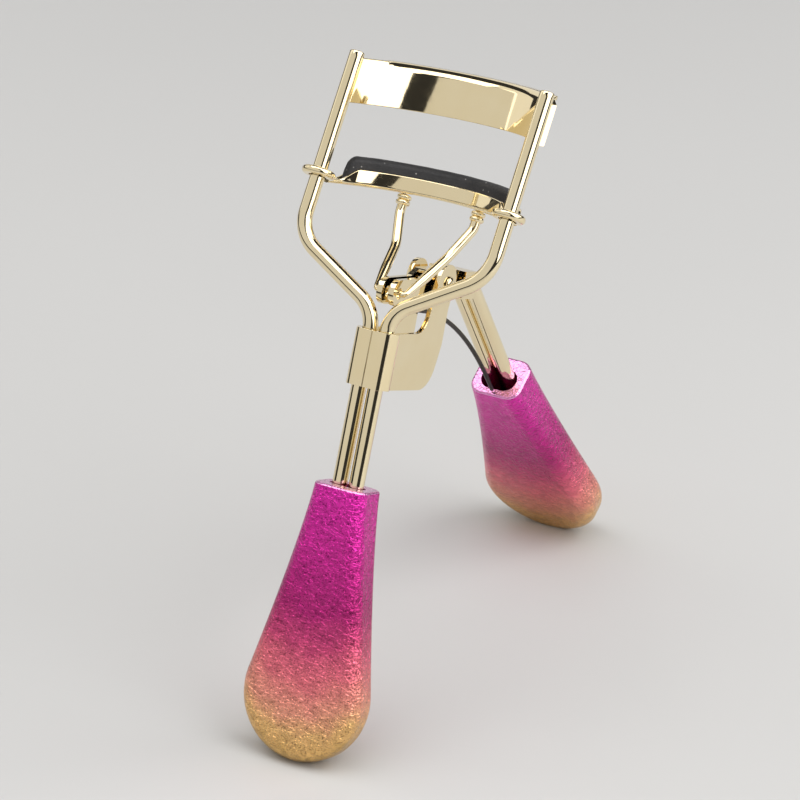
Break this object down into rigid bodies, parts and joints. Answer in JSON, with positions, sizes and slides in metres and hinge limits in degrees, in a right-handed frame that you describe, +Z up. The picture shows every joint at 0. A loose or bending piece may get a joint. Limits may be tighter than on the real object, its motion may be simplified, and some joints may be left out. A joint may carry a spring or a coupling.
{
  "type": "eyelash curler",
  "caption": "Hand-held eyelash curler: wire frame with a fixed curved jaw, a padded jaw that slides up the rails, and a spring lever with spoon-shaped handles.",
  "frame": {"origin": "middle of the bounding box, on the surface that it stands on", "axes": "+Z up, +Y from the front handle to the rear handle, +X to the right when seen from the front handle's side"},
  "size_m": [0.0416, 0.102, 0.1069],
  "materials": {
    "plated_sheet": "steel sheet with bright pale-gold plating",
    "plated_wire": "steel wire with bright pale-gold plating",
    "handle_foil": "moulded plastic with a crinkled metallic foil coat fading from magenta to gold",
    "pad_rubber": "soft matt black rubber",
    "spring_steel": "dark spring wire"
  },
  "bodies": {
    "frame": {"frame_wire_left": "plated_wire", "frame_wire_right": "plated_wire", "front_handle": "handle_foil", "hinge_bracket": "plated_sheet", "pivot_pin": "plated_sheet", "upper_jaw": "plated_sheet", "return_spring": "spring_steel"},
    "lever": {"lever_head": "plated_sheet", "lever_wire_left": "plated_wire", "lever_wire_right": "plated_wire", "rear_handle": "handle_foil"},
    "sliding_jaw": {"lower_jaw": "plated_sheet", "lash_pad": "pad_rubber", "push_rod_left": "plated_wire", "push_rod_right": "plated_wire"}
  },
  "joints": [
    {"name": "lever_hinge", "type": "hinge", "parent": "frame", "child": "lever", "pos_m": [0, -0.00242, 0.07018], "axis": [-1, 0, 0], "range_deg": [0, 33.9], "stiffness_Nm_per_rad": 0.05, "springref_deg": -17.19, "deforming": ["return_spring"]},
    {"name": "jaw_slide", "type": "slide", "parent": "frame", "child": "sliding_jaw", "axis": [0, 0.6004, 0.7997], "range_m": [0, 0.0089]}
  ],
  "couplings": [
    {"joint": "jaw_slide", "follows": "lever_hinge", "m_per_rad": 0.01503}
  ]
}
